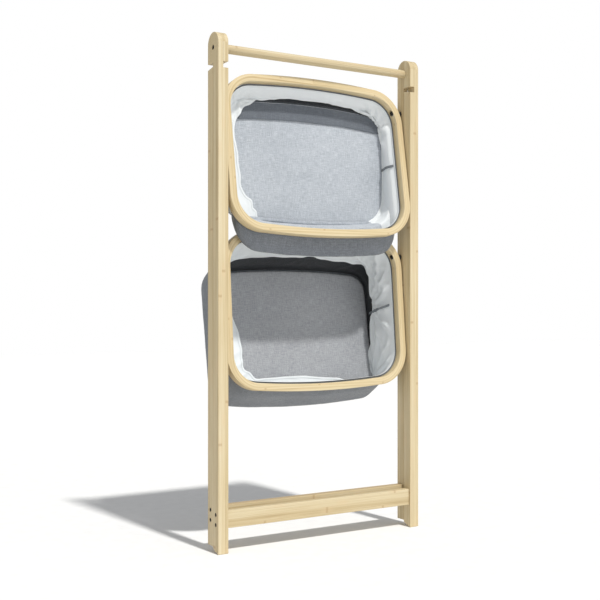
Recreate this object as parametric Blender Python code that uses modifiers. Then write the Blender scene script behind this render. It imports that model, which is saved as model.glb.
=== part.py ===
"""A folding two-tier laundry hamper, shown folded flat.

Two pairs of bamboo legs are joined by half laps at their round heads and fold like scissors.
Two bent bamboo hoops hang from bolts in the rear legs and each carries a fabric bag with a stiff base.
X runs across the frame, Y from front to rear and Z up. All sizes are in metres.
"""

import math

import bmesh
import bpy
from mathutils import Matrix, Vector

# Frame
FRAME_WIDTH = 0.480  # over the outer faces of the legs
PIVOT_HEIGHT = 0.977  # fold axis above the floor
LEG_WIDTH = 0.022  # along X
LEG_DEPTH = 0.023  # along Y, one leg
LEG_GAP = 0.0006  # between a front and a rear leg when folded
EDGE_ROUND = 0.0008

# Half lap heads
HEAD_RISE = 0.0295  # top of a head above the fold axis
HEAD_DROP = 0.030  # underside of a head below the fold axis
LAP_GAP = 0.0003
OPEN_ANGLE = math.radians(34.5)  # where a head's corner meets the other leg's shoulder
SHOULDER_SLOPE = math.radians(10)
STOP_CLEARANCE = 0.0004

# Feet
FRONT_FOOT_BEVEL = math.radians(18)
REAR_FOOT_LIFT = 0.0115

# Top rail and the bolts it turns on
DOWEL_RADIUS = 0.0089
DOWEL_END_RADIUS = 0.0082
DOWEL_TAPER = 0.012
DOWEL_GAP = 0.0003
BOLT_RADIUS = 0.003
BOLT_CLEARANCE = 0.0003
BOLT_HEAD_RADIUS = 0.0045
BOLT_HEAD_HEIGHT = 0.0032
BOLT_RECESS = 0.0042  # depth of the counterbore
RECESS_CLEARANCE = 0.0005
FOLD_BOLT_REACH = 0.020  # into the top rail
INSERT_RADIUS = 0.0048
INSERT_LENGTH = 0.014
SOCKET_RADIUS = 0.0023
SOCKET_DEPTH = 0.0018

# Bottom rails
RAIL_HEIGHT = 0.034
RAIL_DEPTH = 0.016
RAIL_GAP = 0.0003
RAIL_INSET = 0.0035  # behind the front face of the front legs, and before that of the mid plane
FRONT_RAIL_LEVEL = 0.048  # underside
REAR_RAIL_LEVEL = 0.054
SCREW_SPACING = 0.0195
SCREW_RADIUS = 0.002
SCREW_HEAD_RADIUS = 0.0036
SCREW_HEAD_HEIGHT = 0.0028
SCREW_RECESS = 0.0036
SCREW_REACH = 0.024  # into the end of the rail

# Hoops
HOOP_SIDE_GAP = 0.0025  # between a hoop and a leg
HOOP_HEIGHT = 0.3315
HOOP_WALL = 0.015
HOOP_DEPTH = 0.020
HOOP_CORNER = 0.073
HOOP_BOW = 0.006  # rise of the top and bottom bars at their middle
HOOP_EDGE_ROUND = 0.0012
HOOP_FRONT = 0.008  # front face of a hoop before its pivot axis
PIVOT_BELOW_TOP = 0.052
PIVOT_BEHIND_LAP = 0.0135  # pivot axis behind the plane between the legs
UPPER_PIVOT_DROP = 0.0845  # below the fold axis
BASKET_PITCH = 0.311
UPPER_TILT = math.radians(9.2)
LOWER_TILT = math.radians(5.0)
SPOT_RADIUS = 0.0066
OUTER_SPOT_DEPTH = 0.0045  # flat for the spacer, under the widest part of the hoop
INNER_SPOT_DEPTH = 0.0015
SPACER_RADIUS = 0.0058
WASHER_RADIUS = 0.006
WASHER_THICKNESS = 0.0012
CONTACT_GAP = 0.0003
HOOP_BOLT_REACH = 0.012  # into the leg
POCKET_END_GAP = 0.0005

# Bags
BAG_WALL = 0.002
HEM_START = 0.0072  # behind the pivot axis, just past the washers
HEM_GAP = 0.0004
BASE_INSET = 0.0045  # rim of the base cloth, inside the slanting wall
BOARD_THICKNESS = 0.003
BOARD_GAP = 0.0003
BOARD_INSET = 0.0065
# Each ring of a bag: depth behind the hoop at its top and at its bottom, how far its top and its
# bottom hang under those of the mouth, how much narrower each side is, and its corner radius.
UPPER_BAG_RINGS = (
    (0.0010, 0.0010, 0.0000, 0.0000, 0.0000, 0.0574),
    (0.0070, 0.0110, 0.0030, 0.0350, 0.0046, 0.0580),
    (0.0140, 0.0190, 0.0080, 0.0500, 0.0061, 0.0580),
    (0.0190, 0.0265, 0.0120, 0.0380, 0.0061, 0.0600),
    (0.0255, 0.0229, 0.0150, -0.0111, 0.0036, 0.0620),
    (0.0292, 0.0670, 0.0195, -0.0231, -0.0014, 0.0620),
)
LOWER_BAG_RINGS = (
    (0.0010, 0.0010, 0.0000, 0.0000, 0.0000, 0.0574),
    (0.0447, 0.0318, 0.0131, 0.0247, -0.0024, 0.0540),
    (0.0844, 0.0600, 0.0307, 0.0363, -0.0054, 0.0500),
    (0.1087, 0.0840, 0.0456, 0.0472, -0.0064, 0.0470),
    (0.1133, 0.0875, 0.0512, 0.0419, -0.0044, 0.0440),
)

ROUND_STEPS = 16
ARC_STEPS = 8
BAR_STEPS = 3
CORNER_STEPS = 7
CUT_MARGIN = 0.002

INNER_WIDTH = FRAME_WIDTH - 2 * LEG_WIDTH
HOOP_WIDTH = INNER_WIDTH - 2 * HOOP_SIDE_GAP
SIDES = {"left": -1, "right": 1}


def clear_scene():
    for item in list(bpy.data.objects):
        bpy.data.objects.remove(item, do_unlink=True)


def new_collection(name):
    collection = bpy.data.collections.new(name)
    bpy.context.scene.collection.children.link(collection)
    return collection


def new_material(name, colour, roughness, metallic=0.0):
    material = bpy.data.materials.new(name)
    material.use_nodes = True
    shader = material.node_tree.nodes["Principled BSDF"]
    shader.inputs["Base Color"].default_value = (*colour, 1.0)
    shader.inputs["Roughness"].default_value = roughness
    shader.inputs["Metallic"].default_value = metallic
    return material


def add_part(name, data, material, parent):
    item = bpy.data.objects.new(name, data)
    parts.objects.link(item)
    item.data.materials.append(material)
    item.parent = parent
    return item


def add_empty(name, location, parent=None, tilt=0.0):
    empty = bpy.data.objects.new(name, None)
    parts.objects.link(empty)
    empty.parent = parent
    empty.location = location
    empty.rotation_euler.x = tilt
    return empty


def add_bevel(item, width, segments=2):
    bevel = item.modifiers.new("rounded edges", "BEVEL")
    bevel.width = width
    bevel.segments = segments
    bevel.limit_method = "ANGLE"
    bevel.angle_limit = math.radians(40)


def cut(item, cutter):
    cutter.parent = item.parent
    boolean = item.modifiers.new(cutter.name, "BOOLEAN")
    boolean.operation = "DIFFERENCE"
    boolean.object = cutter


def smooth(item, angle=math.radians(35)):
    item.data.shade_smooth()
    item.data.set_sharp_from_angle(angle=angle)


def arc_points(centre, radius, start, end, steps=ARC_STEPS):
    """Points on a round stretch, both ends included."""
    turn = (end - start) / steps
    angles = [start + turn * i for i in range(steps + 1)]
    return [(centre[0] + radius * math.cos(a), centre[1] + radius * math.sin(a)) for a in angles]


def outline_mesh(name, outlines, thickness):
    """A welded slab in local XY from one closed outline, or from an outer one and its holes."""
    curve = bpy.data.curves.new(name, "CURVE")
    curve.dimensions = "2D"
    curve.fill_mode = "BOTH"
    curve.extrude = thickness / 2
    for points in outlines:
        spline = curve.splines.new("POLY")
        spline.points.add(len(points) - 1)
        spline.use_cyclic_u = True
        for point, (x, y) in zip(spline.points, points):
            point.co = (x, y, 0.0, 1.0)
    holder = bpy.data.objects.new(name, curve)
    parts.objects.link(holder)
    graph = bpy.context.evaluated_depsgraph_get()
    mesh = bpy.data.meshes.new_from_object(holder.evaluated_get(graph))
    bpy.data.objects.remove(holder)
    bpy.data.curves.remove(curve)
    shape = bmesh.new()
    shape.from_mesh(mesh)
    bmesh.ops.remove_doubles(shape, verts=shape.verts, dist=1e-6)
    bmesh.ops.dissolve_limit(
        shape, angle_limit=math.radians(0.1), verts=shape.verts, edges=shape.edges
    )
    bmesh.ops.recalc_face_normals(shape, faces=shape.faces)
    shape.to_mesh(mesh)
    shape.free()
    mesh.materials.clear()
    mesh.name = name
    return mesh


def side_slab(name, outline, thickness, x_centre):
    """A slab from an outline of (y, z) points, its thickness along X."""
    mesh = outline_mesh(name, [outline], thickness)
    turn = Matrix(((0, 0, 1, x_centre), (1, 0, 0, 0), (0, 1, 0, 0), (0, 0, 0, 1)))
    mesh.transform(turn)
    return mesh


def add_cutter(name, mesh):
    cutter = bpy.data.objects.new(name, mesh)
    cutters.objects.link(cutter)
    cutter.hide_render = True
    cutter.display_type = "WIRE"
    return cutter


def cylinder_mesh(name, radius, start, end, place, sides=ROUND_STEPS):
    """A closed cylinder along X from start to end, on the axis through place (y, z)."""
    shape = bmesh.new()
    bmesh.ops.create_cone(
        shape,
        cap_ends=True,
        segments=sides,
        radius1=radius,
        radius2=radius,
        depth=abs(end - start),
        matrix=Matrix.Translation(((start + end) / 2, place[0], place[1]))
        @ Matrix.Rotation(math.pi / 2, 4, "Y"),
    )
    mesh = bpy.data.meshes.new(name)
    shape.to_mesh(mesh)
    shape.free()
    return mesh


def bore(item, name, radius, start, end, place, sides=ROUND_STEPS):
    cut(item, add_cutter(name, cylinder_mesh(name, radius, start, end, place, sides)))


def turned_part(name, profile, place, side, material, parent):
    """A turned piece with its axis along X. The profile holds (distance out from the mid plane, radius)."""
    mesh = bpy.data.meshes.new(name)
    points = [(radius, 0.0, side * out) for out, radius in profile]
    mesh.from_pydata(points, [(i, i + 1) for i in range(len(points) - 1)], [])
    item = add_part(name, mesh, material, parent)
    item.location = (0.0, place[0], place[1])
    item.rotation_euler.y = math.pi / 2
    screw = item.modifiers.new("turned", "SCREW")
    screw.axis = "Z"
    screw.steps = ROUND_STEPS
    screw.render_steps = ROUND_STEPS
    screw.use_merge_vertices = True
    screw.merge_threshold = 0.00001
    screw.use_normal_flip = side < 0
    smooth(item)
    return item


def box_part(name, size, centre, material, parent):
    shape = bmesh.new()
    bmesh.ops.create_cube(shape, size=1.0)
    bmesh.ops.scale(shape, vec=size, verts=shape.verts)
    mesh = bpy.data.meshes.new(name)
    shape.to_mesh(mesh)
    shape.free()
    item = add_part(name, mesh, material, parent)
    item.location = centre
    add_bevel(item, EDGE_ROUND)
    return item


# ---------------------------------------------------------------- legs


def shoulder_drop():
    """Depth of a shoulder under the fold axis at the lap plane, so that the other head stops on it."""
    corner_out = LEG_DEPTH * math.cos(OPEN_ANGLE) - HEAD_DROP * math.sin(OPEN_ANGLE)
    corner_down = LEG_DEPTH * math.sin(OPEN_ANGLE) + HEAD_DROP * math.cos(OPEN_ANGLE)
    return corner_down + STOP_CLEARANCE - corner_out * math.tan(SHOULDER_SLOPE)


def leg_outline(facing, foot_outer, foot_inner):
    """(y, z) round a leg with its full round head. Y counts from the lap plane, Z from the fold axis."""
    head_centre = HEAD_RISE - LEG_DEPTH
    points = [
        (facing * LEG_DEPTH, foot_outer),
        (facing * LEG_GAP / 2, foot_inner),
        (facing * LEG_GAP / 2, -HEAD_DROP),
        (-facing * LEG_DEPTH, -HEAD_DROP),
    ]
    start = math.pi if facing > 0 else 0.0
    end = 0.0 if facing > 0 else math.pi
    return points + arc_points((0.0, head_centre), LEG_DEPTH, start, end, 2 * ARC_STEPS)


def lap_outline(facing):
    """(y, z) round what is cut off one half of a head, down to the sloping shoulder."""
    reach = LEG_DEPTH + CUT_MARGIN
    middle = -shoulder_drop()
    return [
        (facing * reach, middle - reach * math.tan(SHOULDER_SLOPE)),
        (0.0, middle),
        (-facing * reach, middle),
        (-facing * reach, HEAD_RISE + CUT_MARGIN),
        (facing * reach, HEAD_RISE + CUT_MARGIN),
    ]


def add_leg(name, side, facing, foot_outer, foot_inner, parent):
    """facing is -1 for a front leg and 1 for a rear leg. A front leg keeps the outer half of its head."""
    middle = side * (FRAME_WIDTH - LEG_WIDTH) / 2
    mesh = side_slab(name, leg_outline(facing, foot_outer, foot_inner), LEG_WIDTH, 0.0)
    leg = add_part(name, mesh, bamboo, parent)
    leg.location.x = middle
    add_bevel(leg, EDGE_ROUND)
    lap_side = side * facing
    lap_thickness = LEG_WIDTH / 2 + LAP_GAP / 2 + CUT_MARGIN
    lap_middle = middle + lap_side * (lap_thickness / 2 - LAP_GAP / 2)
    lap = side_slab(name + "_lap", lap_outline(facing), lap_thickness, lap_middle)
    cut(leg, add_cutter(name + "_lap", lap))
    return leg


def bore_for_fold_bolt(leg, side, has_recess):
    outer = FRAME_WIDTH / 2
    start = side * (outer - LEG_WIDTH - CUT_MARGIN)
    end = side * (outer + CUT_MARGIN)
    bore(leg, leg.name + "_fold_bore", BOLT_RADIUS + BOLT_CLEARANCE, start, end, (0.0, 0.0))
    if has_recess:
        radius = BOLT_HEAD_RADIUS + RECESS_CLEARANCE
        bore(leg, leg.name + "_recess", radius, side * (outer - BOLT_RECESS), end, (0.0, 0.0))


def bore_for_rail_screws(leg, side, places):
    outer = FRAME_WIDTH / 2
    inner = side * (outer - LEG_WIDTH - CUT_MARGIN)
    end = side * (outer + CUT_MARGIN)
    for number, place in enumerate(places, 1):
        name = f"{leg.name}_screw_{number}"
        bore(leg, name + "_bore", SCREW_RADIUS + BOLT_CLEARANCE, inner, end, place)
        radius = SCREW_HEAD_RADIUS + RECESS_CLEARANCE
        bore(leg, name + "_recess", radius, side * (outer - SCREW_RECESS), end, place)


def screw_places(rail_centre):
    y, z = rail_centre
    return [(y, z - SCREW_SPACING / 2), (y, z + SCREW_SPACING / 2)]


def add_legs():
    front_inner = -PIVOT_HEIGHT + LEG_DEPTH * math.tan(FRONT_FOOT_BEVEL)
    rear_foot = -PIVOT_HEIGHT + REAR_FOOT_LIFT
    for side_name, side in SIDES.items():
        front = add_leg(f"front_leg_{side_name}", side, -1, -PIVOT_HEIGHT, front_inner, front_frame)
        bore_for_fold_bolt(front, side, has_recess=True)
        bore_for_rail_screws(front, side, screw_places(FRONT_RAIL_CENTRE))
        rear = add_leg(f"rear_leg_{side_name}", side, 1, rear_foot, rear_foot, rear_frame)
        bore_for_fold_bolt(rear, side, has_recess=False)
        bore_for_rail_screws(rear, side, screw_places(REAR_RAIL_CENTRE))
        for tier, place in HOOP_PIVOTS.items():
            pocket = INSERT_LENGTH + CONTACT_GAP + POCKET_END_GAP
            start = side * (INNER_WIDTH / 2 - CUT_MARGIN)
            end = side * (INNER_WIDTH / 2 + pocket)
            radius = INSERT_RADIUS + CONTACT_GAP
            bore(rear, f"{rear.name}_{tier}_pocket", radius, start, end, place)


# ---------------------------------------------------------------- rails and their fasteners


def add_rail(name, centre, parent):
    size = (INNER_WIDTH - 2 * RAIL_GAP, RAIL_DEPTH, RAIL_HEIGHT)
    rail = box_part(name, size, (0.0, *centre), bamboo, parent)
    for side_name, side in SIDES.items():
        for number, place in enumerate(screw_places(centre), 1):
            tip = side * (INNER_WIDTH / 2 - SCREW_REACH - POCKET_END_GAP)
            end = side * (INNER_WIDTH / 2 + CUT_MARGIN)
            label = f"{name}_{side_name}_{number}_bore"
            bore(rail, label, SCREW_RADIUS + BOLT_CLEARANCE, tip, end, place)


def headed_profile(tip, head_seat, head_top, radius, head_radius, dome=0.0):
    """(out, radius) of a screw, from the top of its head to its tip."""
    return [
        (head_top, 0.0),
        (head_top, head_radius - dome),
        (head_top + (dome if head_seat > head_top else -dome) * 0.6, head_radius),
        (head_seat, head_radius),
        (head_seat, radius),
        (tip, radius),
        (tip, 0.0),
    ]


def add_socket(item, side, head_top, inwards, place):
    """A hexagonal socket sunk in a head. inwards is the side of the head that the shank leaves."""
    start = side * (head_top - inwards * CUT_MARGIN)
    end = side * (head_top + inwards * SOCKET_DEPTH)
    bore(item, item.name + "_socket", SOCKET_RADIUS, start, end, place, sides=6)


def add_rail_screws(prefix, centre, parent):
    for side_name, side in SIDES.items():
        for number, place in enumerate(screw_places(centre), 1):
            seat = FRAME_WIDTH / 2 - SCREW_RECESS + CONTACT_GAP
            top = seat + SCREW_HEAD_HEIGHT
            tip = INNER_WIDTH / 2 - SCREW_REACH
            profile = headed_profile(tip, seat, top, SCREW_RADIUS, SCREW_HEAD_RADIUS)
            name = f"{prefix}_screw_{side_name}_{number}"
            screw = turned_part(name, profile, place, side, dark_steel, parent)
            add_socket(screw, side, top, -1, place)


def add_top_rail():
    half = INNER_WIDTH / 2 - DOWEL_GAP
    profile = [
        (half, 0.0),
        (half, DOWEL_END_RADIUS),
        (half - DOWEL_TAPER, DOWEL_RADIUS),
        (-half + DOWEL_TAPER, DOWEL_RADIUS),
        (-half, DOWEL_END_RADIUS),
        (-half, 0.0),
    ]
    rail = turned_part("top_rail", profile, (0.0, 0.0), 1, dowel_wood, front_frame)
    for side_name, side in SIDES.items():
        outside = side * (INNER_WIDTH / 2 + CUT_MARGIN)
        pocket = side * (half - INSERT_LENGTH - POCKET_END_GAP)
        radius = INSERT_RADIUS + CONTACT_GAP
        bore(rail, f"top_rail_{side_name}_pocket", radius, pocket, outside, (0.0, 0.0))
        tip = side * (half - FOLD_BOLT_REACH - POCKET_END_GAP)
        radius = BOLT_RADIUS + BOLT_CLEARANCE
        bore(rail, f"top_rail_{side_name}_bore", radius, tip, outside, (0.0, 0.0))
        add_insert(f"top_rail_insert_{side_name}", side, half - INSERT_LENGTH, (0.0, 0.0), front_frame)


def add_ring(name, side, ends, radius, place, material, parent):
    """A washer, spacer or bush round a bolt, between its two ends counted out from the mid plane."""
    start, end = ends
    inner = BOLT_RADIUS + BOLT_CLEARANCE
    profile = [(end, inner), (end, radius), (start, radius), (start, inner), (end, inner)]
    ring = turned_part(name, profile, place, side, material, parent)
    weld = ring.modifiers.new("closed ring", "WELD")
    weld.merge_threshold = 0.00001


def add_insert(name, side, start, place, parent):
    """A threaded brass insert, as a plain bush."""
    add_ring(name, side, (start, start + INSERT_LENGTH), INSERT_RADIUS, place, brass, parent)


def add_fold_bolts():
    for side_name, side in SIDES.items():
        seat = FRAME_WIDTH / 2 - BOLT_RECESS + CONTACT_GAP
        top = seat + BOLT_HEAD_HEIGHT
        tip = INNER_WIDTH / 2 - DOWEL_GAP - FOLD_BOLT_REACH
        profile = headed_profile(tip, seat, top, BOLT_RADIUS, BOLT_HEAD_RADIUS, dome=0.0006)
        name = f"fold_bolt_{side_name}"
        bolt = turned_part(name, profile, (0.0, 0.0), side, dark_steel, front_frame)
        add_socket(bolt, side, top, -1, (0.0, 0.0))


# ---------------------------------------------------------------- hoops


def bow_radius():
    """Radius of a hoop's long bars, whose middle rises by HOOP_BOW over their ends at the corners."""
    half_chord = HOOP_WIDTH / 2 - HOOP_CORNER
    return (half_chord**2 + HOOP_BOW**2) / (2 * HOOP_BOW)


def bowed_outline(half_width, half_height, corner, bow):
    """(x, z) round a figure centred on 0 with straight sides, round corners and long bars of radius bow."""
    bow_centre = half_height - bow
    corner_x = half_width - corner
    corner_z = bow_centre + math.sqrt((bow - corner) ** 2 - corner_x**2)
    bow_end = math.atan2(corner_z - bow_centre, corner_x)
    bar = arc_points((0.0, bow_centre), bow, math.pi / 2, bow_end, BAR_STEPS)
    bend = arc_points((corner_x, corner_z), corner, bow_end, 0.0, CORNER_STEPS)
    quarter = bar + bend[1:]
    right = quarter + [(x, -z) for x, z in reversed(quarter)]
    left = [(-x, z) for x, z in reversed(right)]
    return right + left[1:-1]


def hoop_outline(inset):
    """The outline of a hoop about its pivot, moved in by inset."""
    half_width = HOOP_WIDTH / 2 - inset
    half_height = HOOP_HEIGHT / 2 - inset
    middle = PIVOT_BELOW_TOP - HOOP_HEIGHT / 2
    outline = bowed_outline(half_width, half_height, HOOP_CORNER - inset, bow_radius() - inset)
    return [(x, z + middle) for x, z in outline]


def add_hoop(tier, parent):
    name = f"{tier}_hoop"
    mesh = outline_mesh(name, [hoop_outline(0.0), hoop_outline(HOOP_WALL)], HOOP_DEPTH)
    stand_up = Matrix.Rotation(math.pi / 2, 4, "X")
    mesh.transform(Matrix.Translation((0.0, HOOP_DEPTH / 2 - HOOP_FRONT, 0.0)) @ stand_up)
    hoop = add_part(name, mesh, laminated_bamboo, parent)
    add_bevel(hoop, HOOP_EDGE_ROUND)
    centre = (0.0, 0.0)
    half = HOOP_WIDTH / 2
    for side_name, side in SIDES.items():
        inside = side * (half - HOOP_WALL - 4 * SPOT_RADIUS)
        outside = side * (half + CUT_MARGIN)
        label = f"{name}_{side_name}"
        bore(hoop, label + "_bore", BOLT_RADIUS + BOLT_CLEARANCE, inside, outside, centre)
        outer_spot = side * (half - OUTER_SPOT_DEPTH)
        bore(hoop, label + "_outer_spot", SPOT_RADIUS, outer_spot, outside, centre)
        inner_spot = side * (half - HOOP_WALL - INNER_SPOT_DEPTH)
        bore(hoop, label + "_inner_spot", SPOT_RADIUS, inside, inner_spot, centre)


def add_hoop_fasteners(tier):
    """The bolts that a hoop turns on. They are tight in the rear legs, so they belong to the rear frame."""
    place = HOOP_PIVOTS[tier]
    half = HOOP_WIDTH / 2
    inner_spot = half - HOOP_WALL - INNER_SPOT_DEPTH
    spacer = (half - OUTER_SPOT_DEPTH + CONTACT_GAP, INNER_WIDTH / 2 - CONTACT_GAP)
    washer = (inner_spot - CONTACT_GAP - WASHER_THICKNESS, inner_spot - CONTACT_GAP)
    seat = washer[0] - CONTACT_GAP
    top = seat - BOLT_HEAD_HEIGHT
    tip = INNER_WIDTH / 2 + HOOP_BOLT_REACH
    profile = headed_profile(tip, seat, top, BOLT_RADIUS, BOLT_HEAD_RADIUS, dome=0.0012)
    profile.reverse()
    for side_name, side in SIDES.items():
        label = f"{tier}_hoop"
        name = f"{label}_spacer_{side_name}"
        add_ring(name, side, spacer, SPACER_RADIUS, place, black_nylon, rear_frame)
        name = f"{label}_washer_{side_name}"
        add_ring(name, side, washer, WASHER_RADIUS, place, bright_steel, rear_frame)
        name = f"{label}_bolt_{side_name}"
        bolt = turned_part(name, profile, place, side, dark_steel, rear_frame)
        add_socket(bolt, side, top, 1, place)
        insert_start = INNER_WIDTH / 2 + CONTACT_GAP
        add_insert(f"{label}_insert_{side_name}", side, insert_start, place, rear_frame)


# ---------------------------------------------------------------- bags


def bag_rings(rings):
    """Each ring as its upper edge, its lower edge, its half width and corner radius. Z is up."""
    half_width = HOOP_WIDTH / 2 - HOOP_WALL - HEM_GAP
    mouth_top = PIVOT_BELOW_TOP - HOOP_WALL - HEM_GAP
    mouth_bottom = PIVOT_BELOW_TOP - HOOP_HEIGHT + HOOP_WALL + HEM_GAP
    behind = HOOP_DEPTH - HOOP_FRONT
    found = []
    for top_depth, bottom_depth, top_fall, bottom_fall, narrowing, radius in rings:
        upper = Vector((0.0, behind + top_depth, mouth_top - top_fall))
        lower = Vector((0.0, behind + bottom_depth, mouth_bottom - bottom_fall))
        found.append((upper, lower, half_width - narrowing, radius))
    hem_upper = Vector((0.0, HEM_START, mouth_top))
    hem_lower = Vector((0.0, HEM_START, mouth_bottom))
    return [(hem_upper, hem_lower, half_width, rings[0][5])] + found


def ring_points(upper, lower, half_width, radius):
    """A bowed outline stood up between the middles of its upper and its lower edge."""
    half_height = (upper - lower).length / 2
    up = (upper - lower).normalized()
    middle = (upper + lower) / 2
    flat = bowed_outline(half_width, half_height, radius, bow_radius() - HOOP_WALL - HEM_GAP)
    return [middle + up * z + Vector((x, 0.0, 0.0)) for x, z in flat]


def add_bag(tier, rings, parent):
    """The bag's wall, lofted from its mouth to its base and thickened inwards."""
    shape = bmesh.new()
    loops = []
    for ring in bag_rings(rings):
        loops.append([shape.verts.new(point) for point in ring_points(*ring)])
    for front, back in zip(loops, loops[1:]):
        for i in range(len(front)):
            j = (i + 1) % len(front)
            shape.faces.new((front[i], front[j], back[j], back[i]))
    mesh = bpy.data.meshes.new(f"{tier}_bag")
    shape.to_mesh(mesh)
    shape.free()
    bag = add_part(f"{tier}_bag", mesh, grey_fabric, parent)
    wall = bag.modifiers.new("cloth", "SOLIDIFY")
    wall.thickness = BAG_WALL
    wall.offset = -1.0
    wall.use_even_offset = True
    smooth(bag, math.radians(50))


def add_base_plate(name, ring, inset, lift, thickness, material, parent):
    """A plate in the plane of a bag's last ring, its rim in by inset and its rear face lifted off by lift."""
    upper, lower, half_width, radius = ring
    up = (upper - lower).normalized()
    half_height = (upper - lower).length / 2 - inset
    bow = bow_radius() - HOOP_WALL - HEM_GAP - inset
    outline = bowed_outline(half_width - inset, half_height, radius - inset, bow)
    plate = add_part(name, outline_mesh(name, [outline], thickness), material, parent)
    forward = Vector((0.0, -up.z, up.y))
    plate.location = (upper + lower) / 2 + forward * (lift + thickness / 2)
    plate.rotation_euler.x = math.atan2(up.z, up.y)


def add_base(tier, rings, parent):
    """The cloth that closes a bag at the rear, and the stiff board that lies on it inside."""
    ring = bag_rings(rings)[-1]
    add_base_plate(f"{tier}_bag_base", ring, BASE_INSET, 0.0, BAG_WALL, grey_fabric, parent)
    lift = BAG_WALL + BOARD_GAP
    name = f"{tier}_base_board"
    add_base_plate(name, ring, BOARD_INSET, lift, BOARD_THICKNESS, heather_board, parent)


def centre_over_floor(root):
    """Moves the whole hamper so that its box stands on Z 0, centred on the Z axis."""
    graph = bpy.context.evaluated_depsgraph_get()
    low = Vector((math.inf,) * 3)
    high = Vector((-math.inf,) * 3)
    for item in parts.objects:
        if item.type == "EMPTY":
            continue
        shaped = item.evaluated_get(graph)
        for vertex in shaped.data.vertices:
            point = shaped.matrix_world @ vertex.co
            low = Vector(map(min, low, point))
            high = Vector(map(max, high, point))
    middle = (low + high) / 2
    root.location -= Vector((middle.x, middle.y, low.z))


clear_scene()
parts = new_collection("laundry_hamper")
cutters = new_collection("cutters")

bamboo = new_material("bamboo", (0.71, 0.60, 0.40), 0.45)
dowel_wood = new_material("dowel bamboo", (0.72, 0.58, 0.36), 0.45)
laminated_bamboo = new_material("laminated bamboo", (0.76, 0.64, 0.42), 0.42)
dark_steel = new_material("dark steel", (0.05, 0.045, 0.04), 0.4, 0.9)
bright_steel = new_material("zinc plated steel", (0.55, 0.55, 0.56), 0.35, 1.0)
brass = new_material("brass", (0.60, 0.45, 0.20), 0.35, 1.0)
black_nylon = new_material("black nylon", (0.03, 0.03, 0.03), 0.5)
grey_fabric = new_material("grey heather fabric", (0.20, 0.22, 0.24), 0.9)
heather_board = new_material("heather board", (0.42, 0.45, 0.50), 0.9)

FRONT_RAIL_CENTRE = (
    -LEG_DEPTH + RAIL_INSET + RAIL_DEPTH / 2,
    FRONT_RAIL_LEVEL + RAIL_HEIGHT / 2 - PIVOT_HEIGHT,
)
REAR_RAIL_CENTRE = (
    RAIL_INSET + RAIL_DEPTH / 2,
    REAR_RAIL_LEVEL + RAIL_HEIGHT / 2 - PIVOT_HEIGHT,
)
HOOP_PIVOTS = {
    "upper": (PIVOT_BEHIND_LAP, -UPPER_PIVOT_DROP),
    "lower": (PIVOT_BEHIND_LAP, -UPPER_PIVOT_DROP - BASKET_PITCH),
}
TILTS = {"upper": UPPER_TILT, "lower": LOWER_TILT}
BAG_RINGS = {"upper": UPPER_BAG_RINGS, "lower": LOWER_BAG_RINGS}

hamper = add_empty("hamper", (0.0, 0.0, 0.0))
front_frame = add_empty("front_frame", (0.0, 0.0, PIVOT_HEIGHT), hamper)
rear_frame = add_empty("rear_frame", (0.0, 0.0, 0.0), front_frame)

add_legs()
add_rail("front_rail", FRONT_RAIL_CENTRE, front_frame)
add_rail("rear_rail", REAR_RAIL_CENTRE, rear_frame)
add_rail_screws("front_rail", FRONT_RAIL_CENTRE, front_frame)
add_rail_screws("rear_rail", REAR_RAIL_CENTRE, rear_frame)
add_top_rail()
add_fold_bolts()

for tier, place in HOOP_PIVOTS.items():
    basket = add_empty(f"{tier}_basket", (0.0, *place), rear_frame, -TILTS[tier])
    add_hoop(tier, basket)
    add_hoop_fasteners(tier)
    add_bag(tier, BAG_RINGS[tier], basket)
    add_base(tier, BAG_RINGS[tier], basket)

bpy.context.view_layer.update()
centre_over_floor(hamper)
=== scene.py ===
import math

import bmesh
import bpy
from mathutils import Matrix, Vector, noise
from mathutils.bvhtree import BVHTree


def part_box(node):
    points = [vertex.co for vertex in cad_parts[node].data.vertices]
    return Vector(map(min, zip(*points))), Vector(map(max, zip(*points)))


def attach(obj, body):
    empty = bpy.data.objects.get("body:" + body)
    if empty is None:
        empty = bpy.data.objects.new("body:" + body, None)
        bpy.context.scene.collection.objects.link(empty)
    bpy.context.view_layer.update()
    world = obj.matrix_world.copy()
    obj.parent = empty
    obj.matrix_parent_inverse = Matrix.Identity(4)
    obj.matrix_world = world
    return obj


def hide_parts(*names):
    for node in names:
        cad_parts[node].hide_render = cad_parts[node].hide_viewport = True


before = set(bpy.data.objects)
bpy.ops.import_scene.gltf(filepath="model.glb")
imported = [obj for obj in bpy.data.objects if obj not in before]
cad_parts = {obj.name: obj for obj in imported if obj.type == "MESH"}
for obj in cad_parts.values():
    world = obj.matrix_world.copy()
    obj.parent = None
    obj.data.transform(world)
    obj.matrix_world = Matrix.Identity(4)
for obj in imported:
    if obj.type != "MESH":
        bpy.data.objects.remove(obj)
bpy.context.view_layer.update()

# Hoops, in metres
HOOP_WALL = 0.015
HOOP_DEPTH = 0.020
HOOP_FRONT = 0.008
HOOP_CORNER = 0.073
HOOP_BOW = 0.006
HOOP_HEIGHT = 0.3315
PIVOT_BELOW_TOP = 0.052
PIVOT_Y = HOOP_HEIGHT / 2 - PIVOT_BELOW_TOP
BOLT_HOLE = 0.0033
SPOT_RADIUS = 0.0066
OUTER_SPOT = 0.0045
INNER_SPOT = 0.0015
TILTS = {"upper": math.radians(9.2), "lower": math.radians(5.0)}

# Bags, in metres
HEM_START = 0.0072
HEM_GAP = 0.0004
CLOTH = 0.0011
LINING = 0.0006
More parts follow.
